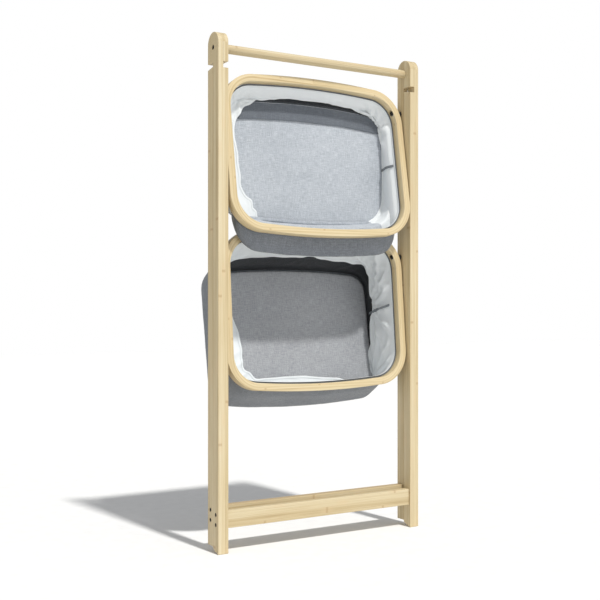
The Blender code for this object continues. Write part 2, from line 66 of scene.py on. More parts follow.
# Rings: depth behind the hoop at top and bottom, fall at top and bottom, narrowing, corner radius
BAG_RINGS = {
    "upper": (
        (0.0010, 0.0010, 0.0000, 0.0000, 0.0000, 0.0574),
        (0.0070, 0.0110, 0.0030, 0.0350, 0.0046, 0.0580),
        (0.0140, 0.0190, 0.0080, 0.0500, 0.0061, 0.0580),
        (0.0190, 0.0265, 0.0120, 0.0380, 0.0061, 0.0600),
        (0.0255, 0.0229, 0.0150, -0.0111, 0.0036, 0.0620),
        (0.0292, 0.0670, 0.0195, -0.0231, -0.0014, 0.0620),
    ),
    "lower": (
        (0.0010, 0.0010, 0.0000, 0.0000, 0.0000, 0.0574),
        (0.0447, 0.0318, 0.0131, 0.0247, -0.0024, 0.0540),
        (0.0844, 0.0600, 0.0307, 0.0363, -0.0054, 0.0500),
        (0.1087, 0.0840, 0.0456, 0.0472, -0.0064, 0.0470),
        (0.1133, 0.0875, 0.0512, 0.0419, -0.0044, 0.0440),
    ),
}
AROUND = 192
ROWS_PER_STEP = 5
LINING_START = 0.0004
LINING_ROWS = 62
CLOTH_ROWS = 60

HOOP_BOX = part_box("upper_hoop")
HOOP_WIDTH = HOOP_BOX[1].x - HOOP_BOX[0].x


def deselect():
    if bpy.context.mode != "OBJECT":
        bpy.ops.object.mode_set(mode="OBJECT")
    bpy.ops.object.select_all(action="DESELECT")


def basket_matrix(tier):
    """Stands a basket's own axes (X across, Y behind the pivot, Z up the hoop) in the room."""
    low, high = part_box(f"{tier}_hoop_bolt_left")
    pivot = (low + high) / 2
    return Matrix.Translation((0.0, pivot.y, pivot.z)) @ Matrix.Rotation(-TILTS[tier], 4, "X")


# ---------------------------------------------------------------- finishes


class Socket:
    """One output in a finish. Arithmetic on it adds Math nodes."""

    def __init__(self, finish, link):
        self.finish = finish
        self.link = link

    def __add__(self, other):
        return self.finish.maths("ADD", self, other)

    def __radd__(self, other):
        return self.finish.maths("ADD", other, self)

    def __sub__(self, other):
        return self.finish.maths("SUBTRACT", self, other)

    def __rsub__(self, other):
        return self.finish.maths("SUBTRACT", other, self)

    def __mul__(self, other):
        return self.finish.maths("MULTIPLY", self, other)

    def __rmul__(self, other):
        return self.finish.maths("MULTIPLY", other, self)

    def __truediv__(self, other):
        return self.finish.maths("DIVIDE", self, other)

    def __gt__(self, other):
        return self.finish.maths("GREATER_THAN", self, other)

class Finish:
    """A procedural material."""

    def __init__(self, name, roughness=0.5, metallic=0.0, **constants):
        self.material = bpy.data.materials.new(name)
        self.material.use_nodes = True
        self.tree = self.material.node_tree
        self.shader = self.tree.nodes["Principled BSDF"]
        self.shader.inputs["Roughness"].default_value = roughness
        self.shader.inputs["Metallic"].default_value = metallic
        for label, value in constants.items():
            self.shader.inputs[label.replace("_", " ")].default_value = value

    def node(self, kind, settings=None, inputs=None, output=0):
        made = self.tree.nodes.new(kind)
        for label, value in (settings or {}).items():
            if label == "stops":
                self.set_stops(made.color_ramp, value)
            else:
                setattr(made, label, value)
        for label, value in (inputs or {}).items():
            self.feed(made.inputs[label], value)
        return Socket(self, made.outputs[output])

    def set_stops(self, ramp, stops):
        while len(ramp.elements) < len(stops):
            ramp.elements.new(0.5)
        for element, (position, colour) in zip(ramp.elements, stops):
            element.position = position
            element.color = (*colour, 1.0)

    def feed(self, socket, value):
        if isinstance(value, Socket):
            self.tree.links.new(value.link, socket)
        else:
            socket.default_value = value

    def maths(self, operation, first, second=0.0):
        settings = {"operation": operation}
        return self.node("ShaderNodeMath", settings, {0: first, 1: second})

    def floor(self, value):
        return self.maths("FLOOR", value)

    def fraction(self, value):
        return self.maths("FRACT", value)

    def size(self, value):
        return self.maths("ABSOLUTE", value)

    def step(self, value, start, end):
        settings = {"interpolation_type": "SMOOTHSTEP"}
        inputs = {"Value": value, "From Min": start, "From Max": end}
        return self.node("ShaderNodeMapRange", settings, inputs)

    def object_point(self):
        return self.node("ShaderNodeTexCoord", output="Object")

    def cloth_point(self):
        return self.node("ShaderNodeUVMap", {"uv_map": "cut"})

    def scaled(self, point, scale):
        return self.node("ShaderNodeMapping", None, {"Vector": point, "Scale": scale})

    def parts(self, point):
        split = self.tree.nodes.new("ShaderNodeSeparateXYZ")
        self.feed(split.inputs[0], point)
        return [Socket(self, split.outputs[i]) for i in range(3)]

    def joined(self, x, y, z=0.0):
        return self.node("ShaderNodeCombineXYZ", None, {0: x, 1: y, 2: z})

    def grain(self, point, scale=1.0, detail=3.0, roughness=0.5):
        inputs = {"Vector": point, "Scale": scale, "Detail": detail, "Roughness": roughness}
        return self.node("ShaderNodeTexNoise", None, inputs, "Fac")

    def chance(self, x, y):
        """A fixed number from 0 to 1 for each whole x and y."""
        point = self.joined(x, y)
        return self.node("ShaderNodeTexWhiteNoise", {"noise_dimensions": "3D"}, {"Vector": point}, "Value")

    def ramp(self, value, *stops):
        return self.node("ShaderNodeValToRGB", {"stops": stops}, {"Fac": value})

    def blend(self, factor, first, second):
        made = self.node("ShaderNodeMix", {"data_type": "RGBA"}, {"Factor": factor}, "Result")
        node = made.link.node
        colour_inputs = [s for s in node.inputs if s.type == "RGBA"]
        for socket, value in zip(colour_inputs, (first, second)):
            self.feed(socket, value if isinstance(value, Socket) else (*value, 1.0))
        colour_output = [s for s in node.outputs if s.type == "RGBA"][0]
        return Socket(self, colour_output)

    def colour(self, value):
        self.feed(self.shader.inputs["Base Color"], value)

    def roughness(self, value):
        self.feed(self.shader.inputs["Roughness"], value)

    def bump(self, height, distance, strength):
        inputs = {"Height": height, "Distance": distance, "Strength": strength}
        self.feed(self.shader.inputs["Normal"], self.node("ShaderNodeBump", None, inputs, "Normal"))


def bamboo_finish(name, along, strip=0.0074, tone=1.0, hoop=False):
    """Laminated bamboo: narrow strips along the piece, fibres, and the cane's brown knuckles."""
    made = Finish(name, 0.46, Coat_Roughness=0.3)
    point = made.cloth_point() if hoop else made.object_point()
    x, y, z = made.parts(point)
    length, across, deep = {"Z": (z, x, y), "X": (x, z, y), "U": (x, y, z)}[along]
    row = made.floor(across / strip + 0.37)
    layer = made.floor(deep / 0.0116 + 0.2)
    pick = made.chance(row, layer)
    far = length + pick * 3.1
    fibres = made.grain(made.joined(across * 900.0, deep * 900.0, far * 9.0), 1.0, 4.0, 0.62)
    streaks = made.grain(made.joined(across * 260.0, deep * 260.0, far * 3.4), 1.0, 2.0, 0.5)
    clouds = made.grain(made.joined(across * 22.0, deep * 22.0, far * 5.0), 1.0, 2.0, 0.5)
    shade = fibres * 0.40 + streaks * 0.40 + clouds * 0.16 + pick * 0.16 - 0.02
    wood = made.ramp(
        shade,
        (0.33, (0.445 * tone, 0.325 * tone, 0.165 * tone)),
        (0.46, (0.575 * tone, 0.455 * tone, 0.255 * tone)),
        (0.58, (0.660 * tone, 0.545 * tone, 0.335 * tone)),
        (0.74, (0.745 * tone, 0.650 * tone, 0.450 * tone)),
    )
    # Knuckles: a short brown band in some strips, with a paler lip
    beat = made.fraction(far / 0.285)
    wander = made.grain(made.joined(across * 330.0, deep * 330.0, length * 30.0), 1.0, 2.0) - 0.5
    off = made.size(beat - 0.5 + wander * 0.006)
    knuckle = made.step(off, 0.0150, 0.0010) * (made.chance(row + 17.0, made.floor(far / 0.285)) > 0.62)
    halo = made.step(off, 0.085, 0.010) * 0.26
    wood = made.blend(halo, wood, (0.70 * tone, 0.52 * tone, 0.30 * tone))
    wood = made.blend(knuckle * 0.42, wood, (0.36, 0.215, 0.095))
    # Glue lines between strips
    edge = made.size(made.fraction(across / strip + 0.37) - 0.5)
    glue = made.step(edge, 0.470, 0.497)
    wood = made.blend(glue * (0.14 if hoop else 0.38), wood, (0.42, 0.27, 0.13))
    specks = made.grain(made.joined(across * 1700.0, deep * 1700.0, far * 26.0), 1.0, 1.0)
    wood = made.blend(made.step(specks, 0.66, 0.74) * 0.30, wood, (0.50, 0.33, 0.16))
    made.colour(wood)
    made.roughness(0.40 + fibres * 0.16 + knuckle * 0.1)
    made.bump(fibres * 0.6 - glue * 0.9 - knuckle * 0.6, 0.00016, 0.5)
    return made.material


CLOTH_ROUGHNESS = 0.93


def cloth_finish(name, dark, mid, light, thread=0.00095, slub=1.0, contrast=1.0):
    """A plain weave of flecked yarns, with slubs along both threads. It follows the cut of the cloth."""
    made = Finish(name, CLOTH_ROUGHNESS, Sheen_Weight=0.25, Sheen_Roughness=0.5, Specular_IOR_Level=0.2)
    u, v, _ = made.parts(made.cloth_point())
    turn = 2.0 * math.pi / thread
    warp = made.maths("SINE", u * turn)
    weft = made.maths("SINE", v * turn)
    weave = warp * weft
    fleck = made.grain(made.joined(u * 520.0, v * 950.0), 1.0, 3.0, 0.7)
    fleck_up = made.grain(made.joined(u * 950.0, v * 420.0, 4.0), 1.0, 3.0, 0.7)
    slubs = made.grain(made.joined(u * 62.0, v * 640.0, 9.0), 1.0, 2.0, 0.6)
    slubs_up = made.grain(made.joined(u * 640.0, v * 62.0, 15.0), 1.0, 2.0, 0.6)
    clouds = made.grain(made.joined(u * 9.0, v * 9.0, 21.0), 1.0, 2.0, 0.5)
    shade = fleck * 0.34 + fleck_up * 0.26 + (slubs + slubs_up) * (0.20 * slub) + clouds * 0.10
    shade = 0.5 + (shade - (0.35 + 0.20 * slub)) * contrast + weave * 0.025
    made.colour(made.ramp(shade, (0.34, dark), (0.5, mid), (0.66, light)))
    made.roughness(CLOTH_ROUGHNESS - fleck * 0.08)
    height = weave * 0.30 + fleck * 0.50 + slubs * 0.35 + slubs_up * 0.30
    made.bump(height, 0.00028, 0.55)
    return made.material


def metal_finish(name, colour, roughness):
    """Machined metal with turning marks and a little wear."""
    made = Finish(name, roughness, 1.0)
    point = made.object_point()
    fine = made.grain(made.scaled(point, (600.0, 2600.0, 2600.0)), 1.0, 2.0)
    broad = made.grain(made.scaled(point, (180.0, 180.0, 180.0)), 1.0, 3.0)
    light = tuple(min(1.0, c * 1.5) for c in colour)
    dull = tuple(c * 0.62 for c in colour)
    made.colour(made.ramp(fine * 0.5 + broad * 0.5, (0.32, dull), (0.5, colour), (0.70, light)))
    made.roughness(roughness - 0.06 + broad * 0.12)
    made.bump(fine, 0.00005, 0.4)
    return made.material


def nylon_finish(name):
    made = Finish(name, 0.5)
    point = made.object_point()
    pits = made.grain(made.scaled(point, (1500.0, 1500.0, 1500.0)), 1.0, 2.0)
    made.colour(made.ramp(pits, (0.35, (0.012, 0.012, 0.013)), (0.65, (0.035, 0.035, 0.037))))
    made.roughness(0.42 + pits * 0.2)
    made.bump(pits, 0.00008, 0.5)
    return made.material


FINISHES = {
    "leg": bamboo_finish("bamboo_leg_strips", "Z", tone=0.96),
    "rail": bamboo_finish("bamboo_rail_strips", "X", 0.0115, 0.94),
    "dowel": bamboo_finish("bamboo_dowel", "X", 0.030, 0.90),
    "hoop": bamboo_finish("bamboo_hoop_plies", "U", 0.0030, 1.03, hoop=True),
    "outer": cloth_finish(
        "grey_heather_canvas",
        (0.100, 0.112, 0.128),
        (0.185, 0.200, 0.222),
        (0.330, 0.350, 0.375),
    ),
    "panel": cloth_finish(
        "pale_heather_panel",
        (0.265, 0.292, 0.328),
        (0.440, 0.472, 0.515),
        (0.650, 0.680, 0.720),
        slub=1.5,
        contrast=0.92,
    ),
    # Painted shade: the panel heather made darker for the lower panel, which lies in the upper basket's
    # shadow.
    "shaded_copy_panel": cloth_finish(
        "darker_painted_shade_panel",
        (0.205, 0.216, 0.236),
        (0.340, 0.350, 0.370),
        (0.520, 0.530, 0.550),
        slub=1.5,
        contrast=0.92,
    ),
    "lining": cloth_finish(
        "white_cotton_lining",
        (0.70, 0.735, 0.755),
        (0.785, 0.815, 0.83),
        (0.855, 0.88, 0.89),
        thread=0.0007,
        slub=0.5,
        contrast=0.55,
    ),
    # Near-black wall cloth: partly its own dark tone, partly painted shade for the deep shadow between lining
    # and base.
    "dark_wall_painted_shade": cloth_finish(
        "near_black_wall_painted_shade",
        (0.010, 0.011, 0.013),
        (0.022, 0.024, 0.028),
        (0.050, 0.054, 0.060),
    ),
    # Painted shade: a dark slate cloth for the shadow that the upper hoop's top bar casts on the top of the
    # upper panel.
    "painted_shade_strip_cloth": cloth_finish(
        "slate_painted_shade_strip",
        (0.068, 0.079, 0.098),
        (0.124, 0.139, 0.161),
        (0.203, 0.221, 0.248),
    ),
    "tape": cloth_finish(
        "grey_loop_tape",
        (0.10, 0.115, 0.125),
        (0.18, 0.20, 0.215),
        (0.28, 0.30, 0.32),
        thread=0.0012,
    ),
    "dark_steel": metal_finish("blackened_steel", (0.075, 0.07, 0.066), 0.38),
    "zinc": metal_finish("zinc_plate", (0.60, 0.60, 0.61), 0.32),
    "brass": metal_finish("turned_brass", (0.62, 0.46, 0.20), 0.33),
    "nylon": nylon_finish("black_nylon"),
}


def dress(node_name, finish):
    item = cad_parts[node_name]
    item.data.materials.clear()
    item.data.materials.append(FINISHES[finish])


def dress_frame():
    for node_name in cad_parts:
        if "leg" in node_name:
            dress(node_name, "leg")
        elif node_name == "top_rail":
            dress(node_name, "dowel")
        elif node_name in ("front_rail", "rear_rail"):
            dress(node_name, "rail")
        elif "insert" in node_name:
            dress(node_name, "brass")
        elif "washer" in node_name:
            dress(node_name, "zinc")
        elif "spacer" in node_name:
            dress(node_name, "nylon")
        elif "bolt" in node_name or "screw" in node_name:
            dress(node_name, "dark_steel")


# ---------------------------------------------------------------- hoops


def hoop_station(x, y):
    """Length round a hoop's outline at (x, y), from the middle of its top bar, and one whole turn."""
    flat_x = HOOP_WIDTH / 2 - HOOP_CORNER
    flat_y = HOOP_HEIGHT / 2 - HOOP_CORNER
    quarter = flat_x + HOOP_CORNER * math.pi / 2 + flat_y
    far_x, far_y = abs(x), abs(y)
    if far_x < flat_x:
        length = far_x
    elif far_y < flat_y:
        length = quarter - far_y
    else:
        length = flat_x + HOOP_CORNER * math.atan2(far_x - flat_x, max(far_y - flat_y, 1e-9))
    if x >= 0:
        station = length if y >= 0 else 2 * quarter - length
    else:
        station = 4 * quarter - length if y >= 0 else 2 * quarter + length
    return station, 4 * quarter


def hoop_depth(x, y):
    """How far (x, y) lies inside the outline of a hoop."""
    flat_x = HOOP_WIDTH / 2 - HOOP_CORNER
    flat_y = HOOP_HEIGHT / 2 - HOOP_CORNER
    out_x, out_y = abs(x) - flat_x, abs(y) - flat_y
    outside = math.hypot(max(out_x, 0.0), max(out_y, 0.0)) + min(max(out_x, out_y), 0.0)
    return HOOP_CORNER - outside


def lay_hoop_grain(hoop):
    """Runs the cut map round the hoop, so that fibres and plies follow the bend."""
    layer = hoop.data.uv_layers.new(name="cut")
    for face in hoop.data.polygons:
        centre = face.center
        middle, turn = hoop_station(centre.x, centre.y)
        for index in face.loop_indices:
            corner = hoop.data.vertices[hoop.data.loops[index].vertex_index].co
            station, _ = hoop_station(corner.x, corner.y)
            if station - middle > turn / 2:
                station -= turn
            elif middle - station > turn / 2:
                station += turn
            across = hoop_depth(corner.x, corner.y)
            if abs(face.normal.z) < 0.5:
                across = corner.z + 0.004
            layer.data[index].uv = (station, across)


def bore_hoop(hoop, name, radius, start, end, side):
    deselect()
    place = (side * (start + end) / 2, PIVOT_Y, HOOP_DEPTH - HOOP_FRONT)
    bpy.ops.mesh.primitive_cylinder_add(
        vertices=40, radius=radius, depth=abs(end - start), location=place, rotation=(0.0, math.pi / 2, 0.0)
    )
    cutter = bpy.context.object
    cut = hoop.modifiers.new(name, "BOOLEAN")
    cut.operation = "DIFFERENCE"
    cut.object = cutter
    deselect()
    hoop.select_set(True)
    bpy.context.view_layer.objects.active = hoop
    bpy.ops.object.modifier_apply(modifier=name)
    bpy.data.objects.remove(cutter)


def bend_bars(mesh):
    """Lets the long bars fall from their middle to the corners."""
    flat_x = HOOP_WIDTH / 2 - HOOP_CORNER
    flat_y = HOOP_HEIGHT / 2 - HOOP_CORNER
    for vertex in mesh.vertices:
        fall = HOOP_BOW * min(1.0, (vertex.co.x / flat_x) ** 2)
        share = min(1.0, abs(vertex.co.y) / flat_y)
        vertex.co.y -= math.copysign(fall * share * share, vertex.co.y)


def model_hoop():
    """A bent bamboo hoop, lying flat, centred, its front face up."""
    deselect()
    bpy.ops.mesh.primitive_plane_add(size=1.0, location=(0.0, 0.0, 0.0))
    hoop = bpy.context.object
    hoop.scale = (HOOP_WIDTH, HOOP_HEIGHT, 1.0)
    bpy.ops.object.transform_apply(location=False, rotation=False, scale=True)
    bpy.ops.object.mode_set(mode="EDIT")
    bpy.ops.mesh.select_all(action="SELECT")
    bpy.ops.mesh.bevel(affect="VERTICES", offset=HOOP_CORNER, segments=20, offset_type="OFFSET")
    bpy.ops.mesh.select_all(action="DESELECT")
    bpy.ops.object.mode_set(mode="OBJECT")
    points = hoop.data.vertices
    for edge in hoop.data.edges:
        a, b = (points[i].co for i in edge.vertices)
        edge.select = (a - b).length > 0.05
    bpy.ops.object.mode_set(mode="EDIT")
    bpy.ops.mesh.select_mode(type="EDGE")
    bpy.ops.mesh.subdivide(number_cuts=24)
    bpy.ops.mesh.select_mode(type="FACE")
    bpy.ops.mesh.select_all(action="SELECT")
    bpy.ops.mesh.inset(thickness=HOOP_WALL)
    bpy.ops.mesh.delete(type="FACE")
    bpy.ops.mesh.select_all(action="SELECT")
    bpy.ops.mesh.extrude_region_move(TRANSFORM_OT_translate={"value": (0.0, 0.0, HOOP_DEPTH)})
    bpy.ops.mesh.select_all(action="SELECT")
    bpy.ops.mesh.normals_make_consistent(inside=False)
    bpy.ops.object.mode_set(mode="OBJECT")
    bevel = hoop.modifiers.new("eased edges", "BEVEL")
    bevel.width = 0.0013
    bevel.segments = 3
    bevel.limit_method = "ANGLE"
    bevel.angle_limit = math.radians(50)
    bpy.ops.object.modifier_apply(modifier=bevel.name)
    bend_bars(hoop.data)
    lay_hoop_grain(hoop)
    return hoop


def finish_hoop(tier, pattern):
    hoop = pattern.copy()
    hoop.data = pattern.data.copy()
    hoop.name = f"{tier}_bent_hoop"
    bpy.context.scene.collection.objects.link(hoop)
    half = HOOP_WIDTH / 2
    for side in (-1, 1):
        bore_hoop(hoop, "bolt hole", BOLT_HOLE, half - 0.040, half + 0.002, side)
        bore_hoop(hoop, "outer spot", SPOT_RADIUS, half - OUTER_SPOT, half + 0.002, side)
        bore_hoop(hoop, "inner spot", SPOT_RADIUS, half - 0.040, half - HOOP_WALL - INNER_SPOT, side)
    lift = PIVOT_BELOW_TOP - HOOP_HEIGHT / 2
    stand = Matrix.Translation((0.0, HOOP_DEPTH - HOOP_FRONT, lift)) @ Matrix.Rotation(math.pi / 2, 4, "X")
    hoop.data.transform(basket_matrix(tier) @ stand)
    hoop.data.materials.clear()
    hoop.data.materials.append(FINISHES["hoop"])
    deselect()
    hoop.select_set(True)
    bpy.context.view_layer.objects.active = hoop
    bpy.ops.object.shade_smooth_by_angle(angle=math.radians(28))
    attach(hoop, f"{tier}_basket")
    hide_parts(f"{tier}_hoop")


# ---------------------------------------------------------------- bags


def bow_radius():
    half_chord = HOOP_WIDTH / 2 - HOOP_CORNER
    return (half_chord**2 + HOOP_BOW**2) / (2 * HOOP_BOW)


def arc(centre, radius, start, end, steps):
    turn = (end - start) / steps
    angles = [start + turn * i for i in range(steps + 1)]
    return [Vector((centre[0] + radius * math.cos(a), centre[1] + radius * math.sin(a))) for a in angles]


def rounded_outline(half_width, half_height, corner, bow):
    """(x, z) round a figure with straight sides, round corners and long bars of radius bow."""
    bow_centre = half_height - bow
    corner_x = half_width - corner
    corner_z = bow_centre + math.sqrt((bow - corner) ** 2 - corner_x**2)
    bow_end = math.atan2(corner_z - bow_centre, corner_x)
    bar = arc((0.0, bow_centre), bow, math.pi / 2, bow_end, 24)
    bend = arc((corner_x, corner_z), corner, bow_end, 0.0, 24)
    quarter = bar + bend[1:]
    right = quarter + [Vector((p.x, -p.y)) for p in reversed(quarter)]
    left = [Vector((-p.x, p.y)) for p in reversed(right)]
    return right + left[1:-1]


def even(points, count):
    """The closed figure as count evenly spaced points."""
    ring = points + [points[0]]
    lengths = [0.0]
    for a, b in zip(ring, ring[1:]):
        lengths.append(lengths[-1] + (b - a).length)
    total = lengths[-1]
    found = []
    at = 0
    for i in range(count):
        want = total * i / count
        while lengths[at + 1] < want:
            at += 1
        share = (want - lengths[at]) / (lengths[at + 1] - lengths[at])
        found.append(ring[at].lerp(ring[at + 1], share))
    return found


def ring_sizes(tier):
    """Each ring: middle of its upper edge, of its lower edge, half width and corner radius."""
    half_width = HOOP_WIDTH / 2 - HOOP_WALL - HEM_GAP
    mouth_top = PIVOT_BELOW_TOP - HOOP_WALL - HEM_GAP
    mouth_bottom = PIVOT_BELOW_TOP - HOOP_HEIGHT + HOOP_WALL + HEM_GAP
    behind = HOOP_DEPTH - HOOP_FRONT
    rings = BAG_RINGS[tier]
    sizes = [
        (Vector((0.0, HEM_START, mouth_top)), Vector((0.0, HEM_START, mouth_bottom)), half_width, rings[0][5])
    ]
    for top_depth, bottom_depth, top_fall, bottom_fall, narrowing, radius in rings:
        upper = Vector((0.0, behind + top_depth, mouth_top - top_fall))
        lower = Vector((0.0, behind + bottom_depth, mouth_bottom - bottom_fall))
        sizes.append((upper, lower, half_width - narrowing, radius))
    return sizes


def ring(size, inset):
    upper, lower, half_width, radius = size
    half_height = (upper - lower).length / 2 - inset
    up = (upper - lower).normalized()
    middle = (upper + lower) / 2
    bow = bow_radius() - HOOP_WALL - HEM_GAP - inset
    flat = even(rounded_outline(half_width - inset, half_height, radius - inset, bow), AROUND)
    return [middle + up * p.y + Vector((p.x, 0.0, 0.0)) for p in flat]


def between(first, second, share):
    return (
        first[0].lerp(second[0], share),
        first[1].lerp(second[1], share),
        first[2] + (second[2] - first[2]) * share,
        first[3] + (second[3] - first[3]) * share,
    )


def wall_rows(tier, inset):
    sizes = ring_sizes(tier)
    rows = []
    for first, second in zip(sizes, sizes[1:]):
        count = 2 if first is sizes[0] else ROWS_PER_STEP
        rows += [ring(between(first, second, i / count), inset) for i in range(count)]
    return rows + [ring(sizes[-1], inset)]


def sheet_mesh(name, rows, closed=True):
    """Rows of points joined into a sheet, with the cut map in metres along and down the rows."""
    shape = bmesh.new()
    layer = shape.loops.layers.uv.new("cut")
    grid = [[shape.verts.new(p) for p in row] for row in rows]
    count = len(rows[0])
    steps = count if closed else count - 1
    across = [0.0]
    middle = rows[len(rows) // 2]
    for i in range(steps):
        across.append(across[-1] + (middle[(i + 1) % count] - middle[i]).length)
    down = [0.0]
    for first, second in zip(rows, rows[1:]):
        gaps = [(b - a).length for a, b in zip(first, second)]
        down.append(down[-1] + sum(gaps) / len(gaps))
    for r in range(len(rows) - 1):
        for i in range(steps):
            j = (i + 1) % count
            face = shape.faces.new((grid[r][i], grid[r][j], grid[r + 1][j], grid[r + 1][i]))
            face.smooth = True
            corners = ((i, r), (i + 1, r), (i + 1, r + 1), (i, r + 1))
            for loop, (a, b) in zip(face.loops, corners):
                loop[layer].uv = (across[a], down[b])
    mesh = bpy.data.meshes.new(name)
    shape.to_mesh(mesh)
    shape.free()
    return mesh


def new_piece(name, mesh, finish):
    piece = bpy.data.objects.new(name, mesh)
    bpy.context.scene.collection.objects.link(piece)
    mesh.materials.append(FINISHES[finish])
    return piece


def thicken(piece, thickness):
    wall = piece.modifiers.new("cloth", "SOLIDIFY")
    wall.thickness = thickness
    wall.offset = 0.0
    wall.use_even_offset = False
    wall.use_rim = True


def round_off(piece):
    smooth = piece.modifiers.new("softened", "SUBSURF")
    smooth.levels = 1
    smooth.render_levels = 1


def apply_all(piece):
    deselect()
    piece.select_set(True)
    bpy.context.view_layer.objects.active = piece
    for modifier in list(piece.modifiers):
        bpy.ops.object.modifier_apply(modifier=modifier.name)


def settle(piece, tier, slot, *replaced):
    piece.data.transform(basket_matrix(tier))
    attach(piece, f"{tier}_basket")
    if replaced:
        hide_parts(*replaced)


def wall_normals(rows):
    """The inward direction at each point of a bag's wall."""
    count = len(rows[0])
    result = []
    for r, row in enumerate(rows):
        before = rows[max(r - 1, 0)]
        after = rows[min(r + 1, len(rows) - 1)]
        line = []
        for i in range(count):
            down, along = after[i] - before[i], row[(i + 1) % count] - row[i - 1]
            line.append(down.cross(along).normalized())
        result.append(line)
    return result


def closed_rear(piece, wall_faces):
    """Closes the rear of a bag's cloth and lays the cut map flat there."""
    shape = bmesh.new()
    shape.from_mesh(piece.data)
    layer = shape.loops.layers.uv.verify()
    rim = [e for e in shape.edges if e.is_boundary and min(v.co.y for v in e.verts) > HEM_START + 0.012]
    patch = set(bmesh.ops.edgeloop_fill(shape, edges=rim)["faces"])
    shape.faces.ensure_lookup_table()
    for face in shape.faces:
        face.smooth = True
        if face in patch or face.index >= wall_faces:
            for loop in face.loops:
                loop[layer].uv = (loop.vert.co.x, loop.vert.co.z)
    bmesh.ops.recalc_face_normals(shape, faces=shape.faces)
    shape.to_mesh(piece.data)
    shape.free()


def outer_cloth(tier):
    """The bag's grey cloth: its wall and its rear, in one piece."""
    rows = wall_rows(tier, 0.0006)
    normals = wall_normals(rows)
    last = len(rows) - 1
    moved = []
    for r, (row, inward) in enumerate(zip(rows, normals)):
        hold = math.sin(math.pi * r / last)
        line = []
        for point, direction in zip(row, inward):
            broad = noise.noise(Vector((point.x * 20.0, point.y * 34.0, point.z * 20.0 + 3.0)))
            fine = noise.noise(Vector((point.x * 55.0, point.y * 22.0, point.z * 55.0 + 8.0)))
            swell = 0.0016 * max(0.0, broad) + 0.0007 * abs(fine)
            line.append(point - direction * hold * swell)
        moved.append(line)
    upper, lower, half_width, radius = ring_sizes(tier)[-1]
    for inset in (0.004, 0.012, 0.030, 0.060, 0.085):
        moved.append(ring((upper, lower, half_width, max(radius, inset + 0.012)), inset))
    name = f"{tier}_bag_cloth"
    piece = new_piece(name, sheet_mesh(name, moved), "outer")
    closed_rear(piece, AROUND * last)
    thicken(piece, CLOTH * 0.8)
    apply_all(piece)
    settle(piece, tier, "grey_heather_fabric", f"{tier}_bag", f"{tier}_bag_base")


BASE_STEPS = (0.003, 0.007, 0.012, 0.019, 0.028, 0.038, 0.050, 0.063, 0.077, 0.092, 0.108)


def skin_rows(tier):
    """Rings from a bag's hem over its wall and onto its base."""
    upper, lower, half_width, radius = ring_sizes(tier)[-1]
    rows = wall_rows(tier, 0.0)
    for inset in BASE_STEPS:
        rows.append(ring((upper, lower, half_width, max(radius, inset + 0.010)), inset))
    return rows


def columns(tier):
    """For each place round a bag: points, inward directions, lengths from the hem, and the wall's length."""
    rows = skin_rows(tier)
    wall = len(rows) - 1 - len(BASE_STEPS)
    normals = wall_normals(rows)
    found = []
    for i in range(AROUND):
        points = [row[i] for row in rows]
        lengths = [0.0]
        for a, b in zip(points, points[1:]):
            lengths.append(lengths[-1] + (b - a).length)
        found.append((points, [row[i] for row in normals], lengths, lengths[wall]))
    return found


def skin_tree(tier):
    """A bag's outer surface, to keep what lies inside it inside."""
    rows = skin_rows(tier)
    points = [point for row in rows for point in row]
    faces = []
    for r in range(len(rows) - 1):
        for i in range(AROUND):
            j = (i + 1) % AROUND
            faces.append((r * AROUND + i, (r + 1) * AROUND + i, (r + 1) * AROUND + j, r * AROUND + j))
    return BVHTree.FromPolygons(points, faces)


def kept_inside(tree, point, clearance):
    """The point, moved to at least clearance inside the bag's outer surface."""
    nearest, inward, _, _ = tree.find_nearest(point)
    if (point - nearest).dot(inward) < clearance:
        return nearest + inward * clearance
    return point


def along_column(column, length):
    points, normals, lengths, _ = column
    at = 0
    while at < len(lengths) - 2 and lengths[at + 1] < length:
        at += 1
    share = (length - lengths[at]) / (lengths[at + 1] - lengths[at])
    share = min(max(share, 0.0), 1.0)
    return points[at].lerp(points[at + 1], share), normals[at].lerp(normals[at + 1], share).normalized()


def read_off(table, place):
    """Reads a table of (place round the bag, value), easing from each entry to the next."""
    for (a, first), (b, second) in zip(table, table[1:]):
        if a <= place <= b:
            share = (place - a) / (b - a)
            share = share * share * (3 - 2 * share)
            return first + (second - first) * share
    return table[-1][1]


# Where the white lining ends, past the base's rim (+) or short of it (-), round from the top's middle
LINING_ENDS = {
    "upper": (
        (0.00, -0.013), (0.09, -0.011), (0.120, 0.002), (0.15, 0.010), (0.185, 0.003), (0.25, 0.002),
        (0.31, 0.002), (0.345, 0.003), (0.365, 0.001), (0.40, 0.000), (0.58, 0.000), (0.60, 0.006),
        (0.620, 0.030), (0.645, 0.052), (0.67, 0.051), (0.70, 0.046), (0.75, 0.039), (0.80, 0.032),
        (0.84, 0.029), (0.87, 0.018), (0.91, -0.002), (0.95, -0.011), (1.00, -0.013),
    ),
    "lower": (
        (0.00, -0.052), (0.09, -0.050), (0.13, -0.046), (0.16, -0.040), (0.20, -0.036), (0.25, -0.020),
        (0.30, -0.004), (0.33, 0.006), (0.36, 0.026), (0.40, 0.054), (0.50, 0.057), (0.60, 0.060),
        (0.64, 0.086), (0.67, 0.087), (0.70, 0.081), (0.75, 0.073), (0.80, 0.064), (0.83, 0.052),
        (0.865, -0.006), (0.90, -0.046), (1.00, -0.052),
    ),
}
